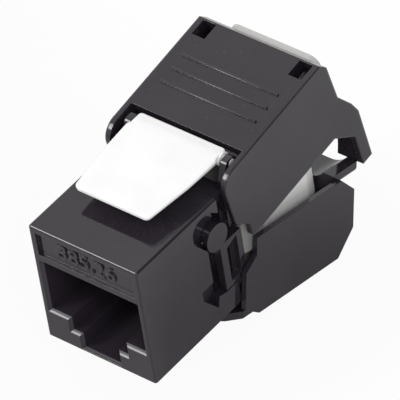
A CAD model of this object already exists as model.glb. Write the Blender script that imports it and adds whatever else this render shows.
import math

import bmesh
import bpy
from mathutils import Matrix, Vector


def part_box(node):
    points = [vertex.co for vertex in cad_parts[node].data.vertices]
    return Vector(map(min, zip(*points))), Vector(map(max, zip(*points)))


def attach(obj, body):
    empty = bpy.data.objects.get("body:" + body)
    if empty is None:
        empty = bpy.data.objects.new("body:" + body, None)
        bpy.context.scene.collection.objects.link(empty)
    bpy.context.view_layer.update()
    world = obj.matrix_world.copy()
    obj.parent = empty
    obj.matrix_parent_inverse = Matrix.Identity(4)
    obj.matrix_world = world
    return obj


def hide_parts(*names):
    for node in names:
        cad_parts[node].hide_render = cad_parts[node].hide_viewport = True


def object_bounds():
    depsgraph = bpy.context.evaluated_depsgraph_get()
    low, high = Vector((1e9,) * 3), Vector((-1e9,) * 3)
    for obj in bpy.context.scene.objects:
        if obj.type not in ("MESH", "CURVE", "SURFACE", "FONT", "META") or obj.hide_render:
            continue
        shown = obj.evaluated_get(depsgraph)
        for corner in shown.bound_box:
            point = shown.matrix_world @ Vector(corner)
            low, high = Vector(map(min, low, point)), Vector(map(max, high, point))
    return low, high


bl_info = {
    "name": "Keystone network jack",
    "version": (1, 0, 0),
    "blender": (4, 5, 0),
    "location": "View3D > Sidebar > Keystone jack",
    "description": "Dresses the packed jack with moulded plastics, metals and small mould details",
    "category": "Object",
}

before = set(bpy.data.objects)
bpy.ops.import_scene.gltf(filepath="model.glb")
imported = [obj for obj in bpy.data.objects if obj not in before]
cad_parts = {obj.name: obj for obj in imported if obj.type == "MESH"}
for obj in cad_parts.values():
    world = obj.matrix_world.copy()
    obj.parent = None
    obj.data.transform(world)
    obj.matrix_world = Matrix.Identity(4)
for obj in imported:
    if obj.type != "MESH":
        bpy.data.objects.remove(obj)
CAD_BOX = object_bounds()

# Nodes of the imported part, by finish
HOUSING = "front_housing"
UPPER_JAW = "upper_jaw"
OTHER_BLACK_NODES = ("contact_insert", "rear_frame", "lower_jaw")
BLOCK_NODE = "wire_block"
GUIDE_NODES = ("upper_wire_guide", "lower_wire_guide")
LATCH_NODE = "release_latch"
BOARD_NODE = "circuit_board"
CONTACT_NODES = tuple(f"spring_contact_{index + 1}" for index in range(8))
BLADE_NODES = tuple(f"{row}_blade_{index + 1}" for row in ("upper", "lower") for index in range(4))

# Softened edges of the plastics, and the wider ones along the sides of the lid
BLACK_EDGE = 0.00008
WHITE_EDGE = 0.00006
LID_EDGE = 0.00035
LID_EDGE_BLEND = 0.0003

# The plug port's opening, where its glossy lip ends, and the matt finish inside
PORT_HALF = 0.0067
PORT_TOP = 0.0111
PORT_LIP = (0.00014, 0.00022)
PORT_ROUGHNESS = 0.3
PORT_TONE = 1.3

# The wire block's end by the hinge is greyer than the rest
BLOCK_FADE = (0.0197, 0.0216)
BLOCK_END_TONE = 0.2

# Tones of the finishes' second colours, as shares of the first
CLOUDED_BLACK = 1.3
CLOUDED_WHITE = 0.965
WORN_GOLD = (0.86, 0.8, 0.7)
DULL_TIN = 0.82
TRACK_TONE = 1.9
DUST_COLOUR = (0.12, 0.12, 0.12)
DUST_COVER = 0.25

# The upper jaw's hinge, how far it stands open at rest, and its lid's top when closed
HINGE_Y = 0.0175
HINGE_Z = 0.0076
JAW_OPEN = math.radians(9.2)
LID_TOP = 0.01845

# Grip ribs on the lid, from the front
RIB_FIRST = 0.02387
RIB_PITCH = 0.002
RIB_COUNT = 3
RIB_SIZE = (0.01288, 0.00032, 0.00042)
RIB_ROUND = 0.0001

# The latch's finger plate: half-widths from front to rear, and where they are reached
LATCH_FRONT_HALF = 0.0051
LATCH_MIDDLE_HALF = 0.00585
LATCH_WIDE_HALF = 0.0061
LATCH_REAR_HALF = 0.00585
LATCH_MIDDLE_Y = 0.0115
LATCH_WIDE_Y = 0.0157
LATCH_SHOULDER_Y = 0.0161
LATCH_SHIFT = -0.00015

# Its rise towards the rear, its thickness in front, and how much the underside lags and narrows
LATCH_RISE = 0.00045
LATCH_RISE_END = 0.0164
LATCH_THICKNESS = 0.0005
LATCH_BELLY = 0.0003
LATCH_UNDERCUT = 0.00025

# Width and height of the block that it is cut from, before its corners are moved
BLANK = 2.0

# Its roundings, and the barrel with the stubs that it turns on
LATCH_CORNER = 0.00045
LATCH_RIM = 0.0003
BARREL_RADIUS = 0.00085
BARREL_GAP = 0.00001
BARREL_INSET = 0.0001
STUB_RADIUS = 0.00048

# The label's recess, and how its numerals are drawn
LABEL_DEPTH = 0.0004
LABEL_MIDDLE_Z = 0.01345
TYPE_SIZE_PER_HEIGHT = 1.38
NUMERAL_BEVEL = 0.00004
NUMERAL_SWELL = 0.00003
NUMERAL_WELD = 0.000001

# Steps round a curve, the angle from which an edge stays sharp, and the smallest length that counts
PIN_SIDES = 40
CORNER_STEPS = 5
RIM_STEPS = 4
RIB_STEPS = 3
NUMERAL_STEPS = 6
FLOOR_SIDES = 96
SHARP_ANGLE = math.radians(32)
TINY = 0.000001

# The room's light, and the dark card that its reflections show
ROOM_LEVEL = 0.64
DARK_CARD = (0.62, 0.53, 0.58)
CARD_OUTER = math.radians(56)
CARD_INNER = math.radians(42)
CARD_DEPTH = 0.92

# The floor: tones near the part, in front of it and far off, and where they change
FLOOR_RADIUS = 1.5
FLOOR_GAP = 0.00002
FLOOR_WHITENESS = 0.94
FLOOR_NEAR = 0.62
FLOOR_FRONT = 0.6
FLOOR_FAR = 0.9
FLOOR_FADE = (0.014, 0.032)
FLOOR_SWEEP = (-0.03, 0.005)

# Square lamps: name, heading from the part's middle, side length and power
LAMP_DISTANCE = 0.4
LAMPS = (
    ("key", (-0.5225, -0.5212, 0.675), 0.12, 0.42),
    ("fill", (0.62, -0.42, 0.66), 0.12, 0.45),
    ("edge", (-0.5225, -0.6689, 0.5288), 0.07, 0.15),
)

# The camera: its place, where it looks and which way is up for it
CAMERA_PLACE = (0.33243, -0.31802, 0.43364)
CAMERA_AHEAD = (-0.52250, 0.52879, -0.66886)
CAMERA_UP = (-0.34529, 0.58603, 0.73303)
CAMERA_SENSOR = 36.0
CAMERA_LENS = 540.0
CAMERA_CLIP = (0.05, 10.0)


# ---------------------------------------------------------------- shader maths


class Wire:
    """A shader socket that takes part in Python arithmetic."""

    def __init__(self, tree, socket):
        self.tree = tree
        self.socket = socket

    def _math(self, operation, first, second=None):
        node = self.tree.nodes.new("ShaderNodeMath")
        node.operation = operation
        put(self.tree, node.inputs[0], first)
        if second is not None:
            put(self.tree, node.inputs[1], second)
        return Wire(self.tree, node.outputs[0])

    def __add__(self, other):
        return self._math("ADD", self, other)

    def __sub__(self, other):
        return self._math("SUBTRACT", self, other)

    def __rsub__(self, other):
        return self._math("SUBTRACT", other, self)

    def __mul__(self, other):
        return self._math("MULTIPLY", self, other)

    def __abs__(self):
        return self._math("ABSOLUTE", self)

    def root(self):
        return self._math("SQRT", self)

    def above(self, level):
        return self._math("GREATER_THAN", self, level)

    def below(self, level):
        return self._math("LESS_THAN", self, level)


def put(tree, socket, value):
    """Links a wire to a socket, or sets the socket's own value."""
    if isinstance(value, Wire):
        tree.links.new(value.socket, socket)
    else:
        socket.default_value = value


class Finish:
    """One material under construction."""

    def __init__(self, name):
        self.material = bpy.data.materials.new(name)
        self.material.use_nodes = True
        self.tree = self.material.node_tree
        self.tree.nodes.clear()
        self.place = self.node("ShaderNodeTexCoord").out("Object")

    def node(self, kind, setup=None, **values):
        """A node with its setup made first and its sockets filled after."""
        made = self.tree.nodes.new(kind)
        for key, value in (setup or {}).items():
            setattr(made, key, value)
        return Made(self.tree, made).fill(values)

    def noise(self, scale, detail=2.0, roughness=0.5):
        """Soft clouds, finer as the scale goes up."""
        made = self.node("ShaderNodeTexNoise", None, Vector=self.place, Scale=scale,
                         Detail=detail, Roughness=roughness)
        return made.out("Fac")

    def axis(self, letter):
        """How far a point lies along X, Y or Z."""
        return self.node("ShaderNodeSeparateXYZ", None, Vector=self.place).out(letter)

    def ramp(self, value, low, high, start=0.0, end=1.0):
        """A smooth change from start to end as value goes from low to high."""
        made = self.node("ShaderNodeMapRange", {"interpolation_type": "SMOOTHSTEP"})
        made.fill({"Value": value, "From Min": low, "From Max": high, "To Min": start,
                   "To Max": end})
        return made.out("Result")

    def mix(self, factor, first, second):
        """A colour between two colours."""
        made = self.tree.nodes.new("ShaderNodeMix")
        made.data_type = "RGBA"
        put(self.tree, made.inputs[0], factor)
        put(self.tree, made.inputs[6], first)
        put(self.tree, made.inputs[7], second)
        return Wire(self.tree, made.outputs[2])

    def soft_edges(self, radius):
        """A normal that rounds the mesh's edges."""
        made = self.node("ShaderNodeBevel", {"samples": 6}, Radius=radius)
        return made.out("Normal")

    def bump(self, height, distance, strength, normal=None):
        """A normal that lets a height stand up from the surface."""
        made = self.node("ShaderNodeBump", None, Height=height, Distance=distance,
                         Strength=strength)
        if normal is not None:
            made.fill({"Normal": normal})
        return made.out("Normal")

    def shade(self, **values):
        """Closes the material with a Principled shader."""
        named = {key.replace("_", " "): value for key, value in values.items()}
        shader = self.node("ShaderNodeBsdfPrincipled").fill(named)
        output = self.tree.nodes.new("ShaderNodeOutputMaterial")
        self.tree.links.new(shader.made.outputs["BSDF"], output.inputs["Surface"])
        return self.material


class Made:
    """A node and the way to its sockets."""

    def __init__(self, tree, made):
        self.tree = tree
        self.made = made

    def fill(self, values):
        for key, value in values.items():
            put(self.tree, self.made.inputs[key], value)
        return self

    def out(self, name):
        return Wire(self.tree, self.made.outputs[name])


# ------------------------------------------------------------------- materials


def paint(colour, tone=1.0):
    """A colour for a socket, darker or lighter by a tone."""
    return (*(part * tone for part in colour), 1.0)


def black_abs(name, colour, lid_half=None, port=False):
    """Glossy moulded black: faint orange peel, dust and softened edges.

    From lid_half outward the edges are softened more. port makes the inside of the plug
    port matt.
    """
    finish = Finish(name)
    radius = BLACK_EDGE
    if lid_half:
        aside = abs(finish.axis("X"))
        radius = finish.ramp(aside, lid_half - LID_EDGE_BLEND, lid_half, BLACK_EDGE, LID_EDGE)
    peel = finish.noise(scale=900.0)
    cloud = finish.noise(scale=160.0, detail=4.0, roughness=0.6)
    specks = finish.noise(scale=2600.0, detail=3.0, roughness=0.7)
    dust = finish.ramp(specks, low=0.62, high=0.74)
    clouded = finish.ramp(cloud, low=0.35, high=0.7)
    tint = finish.mix(clouded, paint(colour), paint(colour, CLOUDED_BLACK))
    tint = finish.mix(dust * DUST_COVER, tint, paint(DUST_COLOUR))
    roughness = finish.ramp(cloud, low=0.3, high=0.75, start=0.07, end=0.13) + dust * 0.15
    if port:
        opening = abs(finish.axis("X")).below(PORT_HALF) * finish.axis("Z").below(PORT_TOP)
        inside = finish.ramp(finish.axis("Y"), *PORT_LIP) * opening
        roughness = roughness + inside * PORT_ROUGHNESS
        tint = finish.mix(inside, tint, paint(colour, PORT_TONE))
    normal = finish.bump(peel, distance=0.000004, strength=0.4,
                         normal=finish.soft_edges(radius))
    return finish.shade(Base_Color=tint, Roughness=roughness, Normal=normal)


def white_abs(name, colour, end_fade=None):
    """Satin white moulding with slight cloudiness; end_fade is where a greyer end fades out."""
    finish = Finish(name)
    cloud = finish.noise(scale=220.0, detail=3.0, roughness=0.55)
    peel = finish.noise(scale=1100.0)
    clouded = finish.ramp(cloud, low=0.35, high=0.7)
    tint = finish.mix(clouded, paint(colour), paint(colour, CLOUDED_WHITE))
    if end_fade:
        full = finish.ramp(finish.axis("Y"), *end_fade)
        tint = finish.mix(full, paint(colour, BLOCK_END_TONE), tint)
    roughness = finish.ramp(cloud, low=0.3, high=0.75, start=0.3, end=0.4)
    normal = finish.bump(peel, distance=0.000005, strength=0.4,
                         normal=finish.soft_edges(WHITE_EDGE))
    return finish.shade(Base_Color=tint, Roughness=roughness, Normal=normal,
                        Subsurface_Weight=0.1, Subsurface_Scale=0.0006,
                        Subsurface_Radius=(1.0, 1.0, 1.0))


def gold_flash(name, colour):
    """Gilt spring bronze with a fine worn grain."""
    finish = Finish(name)
    grain = finish.noise(scale=3000.0)
    worn = tuple(part * share for part, share in zip(colour, WORN_GOLD))
    tint = finish.mix(finish.ramp(grain, low=0.3, high=0.7), paint(colour), paint(worn))
    roughness = finish.ramp(grain, low=0.3, high=0.7, start=0.2, end=0.34)
    normal = finish.bump(grain, distance=0.000004, strength=0.4)
    return finish.shade(Base_Color=tint, Metallic=1.0, Roughness=roughness, Normal=normal)


def tinned(name, colour):
    """Tinned blade: dull bright metal with a crystalline mottle."""
    finish = Finish(name)
    cells = finish.node("ShaderNodeTexVoronoi", None, Vector=finish.place, Scale=1500.0)
    crystal = cells.out("Distance")
    dull = finish.ramp(crystal, low=0.1, high=0.6)
    tint = finish.mix(dull, paint(colour), paint(colour, DULL_TIN))
    roughness = finish.ramp(crystal, low=0.1, high=0.6, start=0.28, end=0.42)
    normal = finish.bump(crystal, distance=0.000004, strength=0.3)
    return finish.shade(Base_Color=tint, Metallic=1.0, Roughness=roughness, Normal=normal)


def solder_mask(name, colour):
    """Green board with tracks that show as a lighter relief."""
    finish = Finish(name)
    waves = finish.node("ShaderNodeTexWave", {"bands_direction": "X"}, Vector=finish.place,
                        Scale=300.0, Distortion=1.5, Detail=1.0)
    weave = waves.out("Fac")
    tracks = finish.ramp(weave, low=0.45, high=0.55)
    tint = finish.mix(tracks, paint(colour), paint(colour, TRACK_TONE))
    roughness = finish.ramp(weave, low=0.2, high=0.8, start=0.35, end=0.5)
    normal = finish.bump(tracks, distance=0.00002, strength=0.6)
    return finish.shade(Base_Color=tint, Roughness=roughness, Normal=normal)


def dress(node_names, material):
    """Gives one material to every slot of some CAD nodes."""
    for name in node_names:
        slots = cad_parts[name].data.materials
        for index in range(len(slots)):
            slots[index] = material
        if not len(slots):
            slots.append(material)


# --------------------------------------------------------------------- pieces


def keep(mesh, name, material, body):
    """Makes a mesh into a piece that rides on a body."""
    piece = bpy.data.objects.new(name, mesh)
    bpy.context.scene.collection.objects.link(piece)
    piece.data.materials.clear()
    piece.data.materials.append(material)
    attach(piece, body)
    return piece


def finished(shape, name):
    """Turns a bmesh into a mesh, outward, smooth over rounds and sharp elsewhere."""
    bmesh.ops.recalc_face_normals(shape, faces=shape.faces)
    mesh = bpy.data.meshes.new(name)
    shape.to_mesh(mesh)
    shape.free()
    mesh.shade_smooth()
    mesh.set_sharp_from_angle(angle=SHARP_ANGLE)
    return mesh


def all_geometry(shape):
    """Every corner, edge and face of a shape."""
    return shape.verts[:] + shape.edges[:] + shape.faces[:]


def rounded(shape, edges, radius, segments):
    """Rounds some of a shape's edges."""
    bmesh.ops.bevel(shape, geom=edges, offset=radius, offset_type="OFFSET",
                    segments=segments, profile=0.5, affect="EDGES", clamp_overlap=True,
                    material=-1)


def bar(shape, size, middle):
    """A block of some size round a middle point."""
    made = bmesh.ops.create_cube(shape, size=1.0)["verts"]
    bmesh.ops.scale(shape, vec=size, verts=made)
    bmesh.ops.translate(shape, vec=middle, verts=made)


def pin(shape, radius, length, y, z):
    """A round pin along X."""
    turn = Matrix.Translation((0.0, y, z)) @ Matrix.Rotation(math.radians(90), 4, "Y")
    bmesh.ops.create_cone(shape, cap_ends=True, segments=PIN_SIDES, radius1=radius,
                          radius2=radius, depth=length, matrix=turn)


def lid_turn():
    """From the closed upper jaw to where it stands at rest."""
    hinge = Vector((0.0, HINGE_Y, HINGE_Z))
    turn = Matrix.Rotation(JAW_OPEN, 4, "X")
    return Matrix.Translation(hinge) @ turn @ Matrix.Translation(-hinge)


def latch_half(y, front):
    """Half the finger plate's width at one place along it."""
    if y > LATCH_SHOULDER_Y - TINY:
        return LATCH_REAR_HALF
    if y > LATCH_MIDDLE_Y:
        share = min((y - LATCH_MIDDLE_Y) / (LATCH_WIDE_Y - LATCH_MIDDLE_Y), 1.0)
        return LATCH_MIDDLE_HALF + (LATCH_WIDE_HALF - LATCH_MIDDLE_HALF) * share
    share = (y - front) / (LATCH_MIDDLE_Y - front)
    return LATCH_FRONT_HALF + (LATCH_MIDDLE_HALF - LATCH_FRONT_HALF) * share


def plate_corner(corner, front, front_top):
    """Moves one corner of the blank to where the finger plate has it."""
    y = corner.co.y
    climb = min((y - front) / (LATCH_RISE_END - front), 1.0)
    half = latch_half(y, front)
    if corner.co.z > 0:
        level = front_top + LATCH_RISE * climb
    else:
        half -= LATCH_UNDERCUT
        level = front_top - LATCH_THICKNESS + LATCH_BELLY * climb
    corner.co = (math.copysign(half, corner.co.x), y, level)


def is_end_upright(edge, front, rear):
    """Whether an edge is one of the plate's four uprights at its ends."""
    first, second = (corner.co for corner in edge.verts)
    level = abs(first.y - second.y) < TINY
    one_side = first.x * second.x > 0
    return level and one_side and min(abs(first.y - front), abs(first.y - rear)) < TINY


def is_top_rim(edge):
    """Whether an edge lies between the plate's top and one of its sides."""
    if len(edge.link_faces) != 2:
        return False
    steep, flat = sorted(face.normal.z for face in edge.link_faces)
    return flat > 0.9 and steep < 0.5


def latch_shape():
    """The finger plate with its barrel and stubs."""
    low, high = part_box(LATCH_NODE)
    shape = bmesh.new()
    bar(shape, (BLANK, high.y - low.y, BLANK), (0.0, (low.y + high.y) / 2, 0.0))
    for y in (LATCH_MIDDLE_Y, LATCH_WIDE_Y, LATCH_SHOULDER_Y, LATCH_RISE_END):
        bmesh.ops.bisect_plane(shape, geom=all_geometry(shape), dist=TINY / 10,
                               plane_co=(0.0, y, 0.0), plane_no=(0.0, 1.0, 0.0))
    for corner in shape.verts:
        plate_corner(corner, low.y, high.z - LATCH_RISE)
    uprights = [edge for edge in shape.edges if is_end_upright(edge, low.y, high.y)]
    rounded(shape, uprights, LATCH_CORNER, CORNER_STEPS)
    shape.normal_update()
    rounded(shape, [edge for edge in shape.edges if is_top_rim(edge)], LATCH_RIM, RIM_STEPS)
    bmesh.ops.translate(shape, vec=(LATCH_SHIFT, 0.0, 0.0), verts=shape.verts)
    barrel_y = high.y - BARREL_RADIUS
    barrel_z = high.z - BARREL_RADIUS
    barrel_length = 2 * (LATCH_REAR_HALF - BARREL_INSET)
    pin(shape, BARREL_RADIUS - BARREL_GAP, barrel_length, barrel_y, barrel_z)
    pin(shape, STUB_RADIUS, 2 * high.x, barrel_y, barrel_z)
    return finished(shape, "latch_plate")


def rib_shape():
    """The lid's ribs with rounded tops."""
    shape = bmesh.new()
    for index in range(RIB_COUNT):
        bar(shape, RIB_SIZE, (0.0, RIB_FIRST + index * RIB_PITCH, LID_TOP))
    rounded(shape, shape.edges[:], RIB_ROUND, RIB_STEPS)
    bmesh.ops.transform(shape, matrix=lid_turn(), verts=shape.verts)
    return finished(shape, "lid_ribs")


def numeral_shape():
    """The label's numerals, upright on the floor of its recess."""
    text = bpy.data.curves.new("label_text", "FONT")
    text.body = settings().numerals
    text.align_x = "CENTER"
    text.align_y = "CENTER"
    text.size = settings().numeral_height * TYPE_SIZE_PER_HEIGHT
    text.extrude = settings().numeral_relief
    text.bevel_depth = NUMERAL_BEVEL
    text.bevel_resolution = 1
    text.resolution_u = NUMERAL_STEPS
    text.offset = NUMERAL_SWELL
    maker = bpy.data.objects.new("label_maker", text)
    bpy.context.scene.collection.objects.link(maker)
    bpy.context.view_layer.update()
    shape = bmesh.new()
    shape.from_mesh(bpy.data.meshes.new_from_object(maker))
    bpy.data.objects.remove(maker)
    bpy.data.curves.remove(text)
    bmesh.ops.remove_doubles(shape, verts=shape.verts, dist=NUMERAL_WELD)
    bmesh.ops.dissolve_degenerate(shape, edges=shape.edges, dist=NUMERAL_WELD)
    mesh = finished(shape, "label_numerals")
    recess_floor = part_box(HOUSING)[0].y + LABEL_DEPTH
    mesh.transform(Matrix.Rotation(math.radians(90), 4, "X"))
    mesh.transform(Matrix.Translation((0.0, recess_floor, LABEL_MIDDLE_Z)))
    return mesh


# ----------------------------------------------------------------------- stage


def pale_world():
    """A pale room: white to the camera, with one dark card for the reflections."""
    world = bpy.data.worlds.new("pale_room")
    bpy.context.scene.world = world
    world.use_nodes = True
    tree = world.node_tree
    tree.nodes.clear()
    path = tree.nodes.new("ShaderNodeLightPath")
    seen = Wire(tree, path.outputs["Is Camera Ray"])
    mirror = Wire(tree, path.outputs["Is Glossy Ray"])
    through = Wire(tree, path.outputs["Is Transmission Ray"])
    place = tree.nodes.new("ShaderNodeTexCoord")
    along = tree.nodes.new("ShaderNodeVectorMath")
    along.operation = "DOT_PRODUCT"
    tree.links.new(place.outputs["Generated"], along.inputs[0])
    along.inputs[1].default_value = Vector(DARK_CARD).normalized()
    card = tree.nodes.new("ShaderNodeMapRange")
    card.interpolation_type = "SMOOTHSTEP"
    tree.links.new(along.outputs["Value"], card.inputs["Value"])
    card.inputs["From Min"].default_value = math.cos(CARD_OUTER)
    card.inputs["From Max"].default_value = math.cos(CARD_INNER)
    dark = Wire(tree, card.outputs["Result"])
    white = (seen + through).above(0.5)
    reflected = mirror * (1.0 - dark * CARD_DEPTH)
    level = white + reflected + (1.0 - white) * (1.0 - mirror) * ROOM_LEVEL
    ground = tree.nodes.new("ShaderNodeBackground")
    put(tree, ground.inputs["Color"], (1.0, 1.0, 1.0, 1.0))
    put(tree, ground.inputs["Strength"], level)
    out = tree.nodes.new("ShaderNodeOutputWorld")
    tree.links.new(ground.outputs[0], out.inputs["Surface"])


def floor_finish():
    """A pale matt floor that looks nearly white from above."""
    finish = Finish("pale_floor")
    across = finish.axis("X")
    aside = finish.axis("Y") - (CAD_BOX[0][1] + CAD_BOX[1][1]) / 2
    distance = (across * across + aside * aside).root()
    far = finish.ramp(across + aside, *FLOOR_SWEEP, FLOOR_FRONT, FLOOR_FAR)
    tint = finish.mix(finish.ramp(distance, *FLOOR_FADE), paint((FLOOR_NEAR,) * 3), far)
    seen = finish.node("ShaderNodeLightPath").out("Is Camera Ray")
    diffuse = finish.node("ShaderNodeBsdfDiffuse", None, Color=tint)
    glow = finish.node("ShaderNodeEmission", None, Color=paint((1.0, 1.0, 1.0)), Strength=1.0)
    blend = finish.node("ShaderNodeMixShader", None, Fac=seen * FLOOR_WHITENESS)
    output = finish.node("ShaderNodeOutputMaterial")
    finish.tree.links.new(diffuse.made.outputs["BSDF"], blend.made.inputs[1])
    finish.tree.links.new(glow.made.outputs["Emission"], blend.made.inputs[2])
    finish.tree.links.new(blend.made.outputs["Shader"], output.made.inputs["Surface"])
    return finish.material


def floor():
    """A wide pale disc under the part."""
    shape = bmesh.new()
    bmesh.ops.create_circle(shape, cap_ends=True, segments=FLOOR_SIDES,
                            radius=FLOOR_RADIUS)
    bmesh.ops.translate(shape, verts=shape.verts, vec=(0.0, 0.0, CAD_BOX[0][2] - FLOOR_GAP))
    mesh = bpy.data.meshes.new("pale_floor")
    shape.to_mesh(mesh)
    shape.free()
    mesh.materials.append(floor_finish())
    ground = bpy.data.objects.new("pale_floor", mesh)
    bpy.context.scene.collection.objects.link(ground)


def soft_lights():
    """The lamps, all turned towards the part's middle."""
    middle = (Vector(CAD_BOX[0]) + Vector(CAD_BOX[1])) / 2
    for name, heading, size, power in LAMPS:
        lamp = bpy.data.lights.new(name, "AREA")
        lamp.shape = "SQUARE"
        lamp.size = size
        lamp.energy = power
        holder = bpy.data.objects.new(name, lamp)
        way = Vector(heading).normalized()
        holder.location = middle + way * LAMP_DISTANCE
        holder.rotation_euler = (-way).to_track_quat("-Z", "Y").to_euler()
        bpy.context.scene.collection.objects.link(holder)


def camera():
    """The viewing place: front, right and above, slightly rolled."""
    lens = bpy.data.cameras.new("viewer")
    lens.sensor_width = CAMERA_SENSOR
    lens.lens = CAMERA_LENS
    lens.clip_start, lens.clip_end = CAMERA_CLIP
    ahead = Vector(CAMERA_AHEAD).normalized()
    right = ahead.cross(Vector(CAMERA_UP).normalized()).normalized()
    turn = Matrix((right, right.cross(ahead), -ahead)).transposed().to_4x4()
    seer = bpy.data.objects.new("viewer", lens)
    seer.matrix_world = Matrix.Translation(Vector(CAMERA_PLACE)) @ turn
    bpy.context.scene.collection.objects.link(seer)
    bpy.context.scene.camera = seer


# ---------------------------------------------------------- settings and steps


class JackSettings(bpy.types.PropertyGroup):
    """What can be changed in the jack's look."""

    black: bpy.props.FloatVectorProperty(
        name="Black plastic", description="Colour of the housing and jaws", size=3,
        subtype="COLOR", min=0.0, max=1.0, default=(0.0185, 0.0145, 0.0205))
    block: bpy.props.FloatVectorProperty(
        name="Block plastic", description="Colour of the wire block", size=3,
        subtype="COLOR", min=0.0, max=1.0, default=(0.93, 0.925, 0.915))
    white: bpy.props.FloatVectorProperty(
        name="Guide plastic", description="Colour of the wire guides", size=3,
        subtype="COLOR", min=0.0, max=1.0, default=(0.56, 0.555, 0.548))
    latch: bpy.props.FloatVectorProperty(
        name="Latch plastic", description="Colour of the release latch", size=3,
        subtype="COLOR", min=0.0, max=1.0, default=(0.93, 0.93, 0.93))
    gold: bpy.props.FloatVectorProperty(
        name="Gold", description="Colour of the spring contacts", size=3,
        subtype="COLOR", min=0.0, max=1.0, default=(0.83, 0.6, 0.24))
    tin: bpy.props.FloatVectorProperty(
        name="Tin", description="Colour of the blades", size=3, subtype="COLOR", min=0.0,
        max=1.0, default=(0.72, 0.72, 0.7))
    board: bpy.props.FloatVectorProperty(
        name="Board", description="Colour of the circuit board", size=3, subtype="COLOR",
        min=0.0, max=1.0, default=(0.006, 0.022, 0.012))
    numerals: bpy.props.StringProperty(
        name="Numerals", description="Plain port number raised in the label recess",
        default="385.26")
    numeral_height: bpy.props.FloatProperty(
        name="Numeral height", description="Height of the raised numerals", unit="LENGTH",
        default=0.0021)
    numeral_relief: bpy.props.FloatProperty(
        name="Numeral relief", description="How far the numerals stand up", unit="LENGTH",
        default=0.00016)


def settings():
    """The scene's own jack settings."""
    return bpy.context.scene.jack


class JACK_OT_plastics(bpy.types.Operator):
    """Give the moulded nodes their black and white plastics."""

    bl_idname = "jack.plastics"
    bl_label = "Plastics"

    def execute(self, context):
        black = settings().black
        lid_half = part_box(UPPER_JAW)[1].x - LID_EDGE
        dress(OTHER_BLACK_NODES, black_abs("black_gloss", black))
        dress((HOUSING,), black_abs("black_housing", black, port=True))
        dress((UPPER_JAW,), black_abs("black_lid", black, lid_half=lid_half))
        dress((BLOCK_NODE,), white_abs("white_block", settings().block, end_fade=BLOCK_FADE))
        dress(GUIDE_NODES, white_abs("white_satin", settings().white))
        dress((LATCH_NODE,), white_abs("latch_white", settings().latch))
        return {"FINISHED"}


class JACK_OT_metals(bpy.types.Operator):
    """Give the contacts, blades and board their finishes."""

    bl_idname = "jack.metals"
    bl_label = "Metals and board"

    def execute(self, context):
        dress(CONTACT_NODES, gold_flash("gold_flash", settings().gold))
        dress(BLADE_NODES, tinned("tinned_blade", settings().tin))
        dress((BOARD_NODE,), solder_mask("solder_mask", settings().board))
        return {"FINISHED"}


class JACK_OT_numerals(bpy.types.Operator):
    """Raise plain numerals in the label recess."""

    bl_idname = "jack.numerals"
    bl_label = "Label numerals"

    def execute(self, context):
        keep(numeral_shape(), "label_numerals", bpy.data.materials["black_gloss"], "housing")
        return {"FINISHED"}


class JACK_OT_latch(bpy.types.Operator):
    """Shape the latch's finger plate with its rounded rims."""

    bl_idname = "jack.latch"
    bl_label = "Latch plate"

    def execute(self, context):
        piece = keep(latch_shape(), "latch_plate", bpy.data.materials["latch_white"],
                     "latch")
        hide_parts(LATCH_NODE)
        return {"FINISHED"}


class JACK_OT_ribs(bpy.types.Operator):
    """Round the grip ribs of the lid."""

    bl_idname = "jack.ribs"
    bl_label = "Grip ribs"

    def execute(self, context):
        keep(rib_shape(), "lid_ribs", bpy.data.materials["black_lid"], "upper_jaw")
        return {"FINISHED"}


class JACK_OT_stage(bpy.types.Operator):
    """Set the pale floor, the soft lights, the world and the camera."""

    bl_idname = "jack.stage"
    bl_label = "Stage"

    def execute(self, context):
        pale_world()
        floor()
        soft_lights()
        camera()
        context.scene.view_settings.view_transform = "Standard"
        return {"FINISHED"}


class JACK_PT_panel(bpy.types.Panel):
    """Lists the jack's settings and its steps."""

    bl_label = "Keystone jack"
    bl_idname = "JACK_PT_panel"
    bl_space_type = "VIEW_3D"
    bl_region_type = "UI"
    bl_category = "Keystone jack"

    def draw(self, context):
        for name in JackSettings.__annotations__:
            self.layout.prop(context.scene.jack, name)
        for operator in OPERATORS:
            self.layout.operator(operator.bl_idname)


OPERATORS = (JACK_OT_plastics, JACK_OT_metals, JACK_OT_latch, JACK_OT_ribs,
             JACK_OT_numerals, JACK_OT_stage)
CLASSES = (JackSettings, *OPERATORS, JACK_PT_panel)


def register():
    """Adds the settings, the steps and the panel."""
    for entry in CLASSES:
        bpy.utils.register_class(entry)
    bpy.types.Scene.jack = bpy.props.PointerProperty(type=JackSettings)


def unregister():
    """Takes away what register adds."""
    del bpy.types.Scene.jack
    for entry in reversed(CLASSES):
        bpy.utils.unregister_class(entry)


def main():
    """Runs every step in order."""
    register()
    bpy.ops.jack.plastics()
    bpy.ops.jack.metals()
    bpy.ops.jack.latch()
    bpy.ops.jack.ribs()
    bpy.ops.jack.numerals()
    bpy.ops.jack.stage()


if __name__ == "__main__":
    main()
